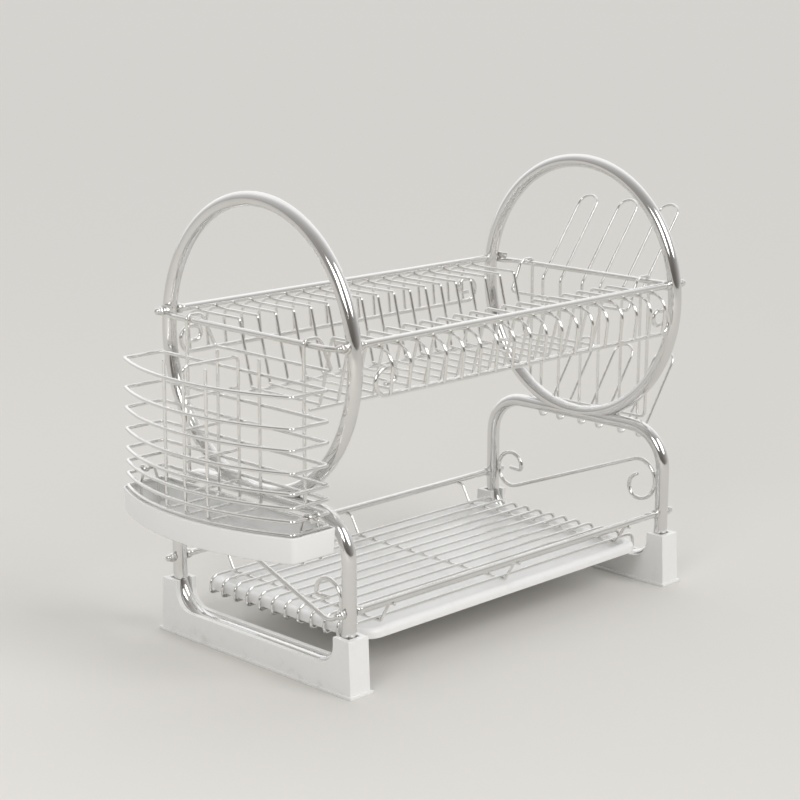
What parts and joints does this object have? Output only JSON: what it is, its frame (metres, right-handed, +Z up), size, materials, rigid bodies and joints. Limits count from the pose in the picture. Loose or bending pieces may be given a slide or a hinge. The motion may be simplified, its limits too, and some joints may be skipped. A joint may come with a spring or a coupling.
{
  "type": "two-tier dish drainer",
  "caption": "Two-tier dish drainer: plate rack held between round end rings, lower shelf over a drip tray, hook-on cutlery basket and cup rack.",
  "frame": {"origin": "on the table, under the middle of the whole rack's length and depth, hung parts included", "axes": "+X along the length towards the cup rack, +Y to the back, +Z up"},
  "size_m": [0.575, 0.2558, 0.399],
  "materials": {
    "chromed_tube": "bright chrome plate on steel tube",
    "chromed_wire": "bright chrome plate on steel wire",
    "chromed_fastener": "bright chrome plate",
    "white_plastic": "moulded white plastic, slightly glossy"
  },
  "bodies": {
    "frame": {"left_foot": "white_plastic", "right_foot": "white_plastic", "left_loop_tube": "chromed_tube", "right_loop_tube": "chromed_tube", "left_ring_tube": "chromed_tube", "right_ring_tube": "chromed_tube", "left_scroll_brace": "chromed_wire", "right_scroll_brace": "chromed_wire", "upper_front_rail": "chromed_wire", "upper_back_rail": "chromed_wire", "lower_front_rail": "chromed_wire", "lower_back_rail": "chromed_wire", "left_side_rod": "chromed_wire", "right_side_rod": "chromed_wire", "upper_bolts": "chromed_fastener", "lower_bolts": "chromed_fastener", "upper_cap_nuts": "chromed_fastener", "lower_cap_nuts": "chromed_fastener", "upper_rail_collars": "chromed_fastener", "lower_rail_collars": "chromed_fastener", "plate_wires": "chromed_wire", "plate_front_scroll_rod": "chromed_wire", "plate_back_scroll_rod": "chromed_wire", "plate_front_trough_rod": "chromed_wire", "plate_back_trough_rod": "chromed_wire", "shelf_wires": "chromed_wire", "shelf_hangers": "chromed_wire"},
    "cutlery_basket": {"basket_loops": "chromed_wire", "basket_uprights": "chromed_wire", "basket_divider": "chromed_wire", "basket_hanger": "chromed_wire"},
    "cutlery_tray": {"cutlery_tray": "white_plastic", "tray_clips": "chromed_wire"},
    "cup_rack": {"cup_loops": "chromed_wire", "cup_rack_hanger": "chromed_wire"},
    "drip_tray": {"drip_tray": "white_plastic"}
  },
  "joints": [
    {"name": "cutlery_basket_lift", "type": "slide", "parent": "frame", "child": "cutlery_basket", "axis": [0, 0, 1], "range_m": [0, 0.035]},
    {"name": "cutlery_tray_unhook", "type": "slide", "parent": "cutlery_basket", "child": "cutlery_tray", "axis": [0, 0, 1], "range_m": [0, 0.004]},
    {"name": "cup_rack_lift", "type": "slide", "parent": "frame", "child": "cup_rack", "axis": [0, 0, 1], "range_m": [0, 0.035]},
    {"name": "drip_tray_slide", "type": "slide", "parent": "frame", "child": "drip_tray", "axis": [0, -1, 0], "range_m": [0, 0.15]}
  ]
}
